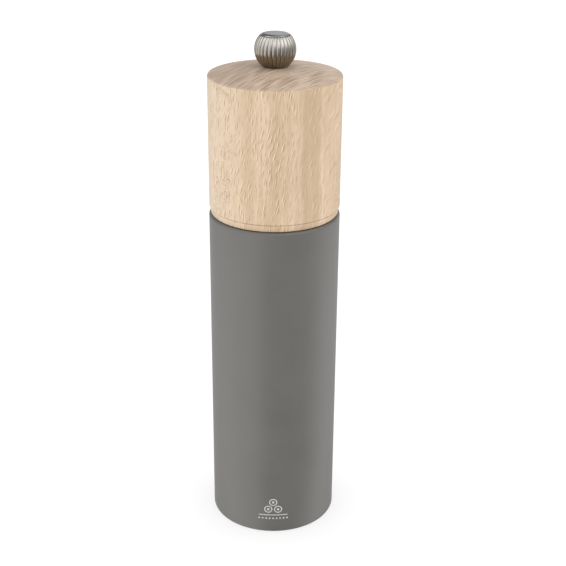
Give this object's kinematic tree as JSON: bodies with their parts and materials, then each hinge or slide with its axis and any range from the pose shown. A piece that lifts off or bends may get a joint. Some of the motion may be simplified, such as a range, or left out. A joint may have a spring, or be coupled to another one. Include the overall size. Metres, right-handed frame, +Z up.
{
  "type": "pepper mill",
  "caption": "Tall cylindrical pepper mill with a turned wooden body and head, a fluted metal knob that sets the grind, and a burr grinder inside.",
  "frame": {"origin": "centre of the base, on the surface that the mill stands on", "axes": "+Z up along the shaft, from the base to the knob; the front faces -Y"},
  "size_m": [0.053, 0.053, 0.21],
  "materials": {
    "grey_lacquered_wood": "matt grey lacquer",
    "natural_beech": "matt oil",
    "polished_steel": "polished and fluted",
    "brushed_steel": "brushed",
    "spring_steel": "drawn wire",
    "burr_steel": "hardened and oiled",
    "brass": "turned",
    "nylon": "natural nylon"
  },
  "bodies": {
    "mill_body": {"body_shell": "grey_lacquered_wood", "upper_bridge": "brushed_steel", "grinder_housing": "brushed_steel", "stator_burr": "burr_steel", "housing_screws": "brushed_steel", "retaining_bar": "brushed_steel", "bar_screws": "brushed_steel"},
    "bush": {"shaft_bush": "nylon", "bush_clip": "spring_steel", "upper_spring_washer": "brushed_steel", "grinder_spring": "spring_steel"},
    "shaft": {"drive_shaft": "brushed_steel", "rotor_burr": "burr_steel", "rotor_nut": "brushed_steel", "lower_spring_washer": "brushed_steel"},
    "head": {"head_wood": "natural_beech", "drive_plate": "brushed_steel", "drive_plate_screws": "brushed_steel", "head_ferrule": "brass"},
    "washer": {"knob_washer": "nylon"},
    "knob": {"knob_shell": "polished_steel", "knob_insert": "brass", "knob_cap": "polished_steel"}
  },
  "joints": [
    {"name": "head_turn", "type": "hinge", "parent": "mill_body", "child": "bush", "pos_m": [0, 0, 0.05], "axis": [0, 0, 1], "continuous": true},
    {"name": "grind_adjust", "type": "slide", "parent": "bush", "child": "shaft", "axis": [0, 0, 1], "range_m": [0, 0.0016], "deforming": ["grinder_spring"]},
    {"name": "head_lift", "type": "slide", "parent": "bush", "child": "head", "axis": [0, 0, 1], "range_m": [0, 0.09]},
    {"name": "knob_lift", "type": "slide", "parent": "head", "child": "washer", "axis": [0, 0, 1], "range_m": [0, 0.03]},
    {"name": "knob_turn", "type": "hinge", "parent": "washer", "child": "knob", "pos_m": [0, 0, 0.2], "axis": [0, 0, -1], "range_deg": [0, 720]}
  ],
  "couplings": [
    {"joint": "knob_turn", "follows": "grind_adjust", "rad_per_m": 7854}
  ]
}
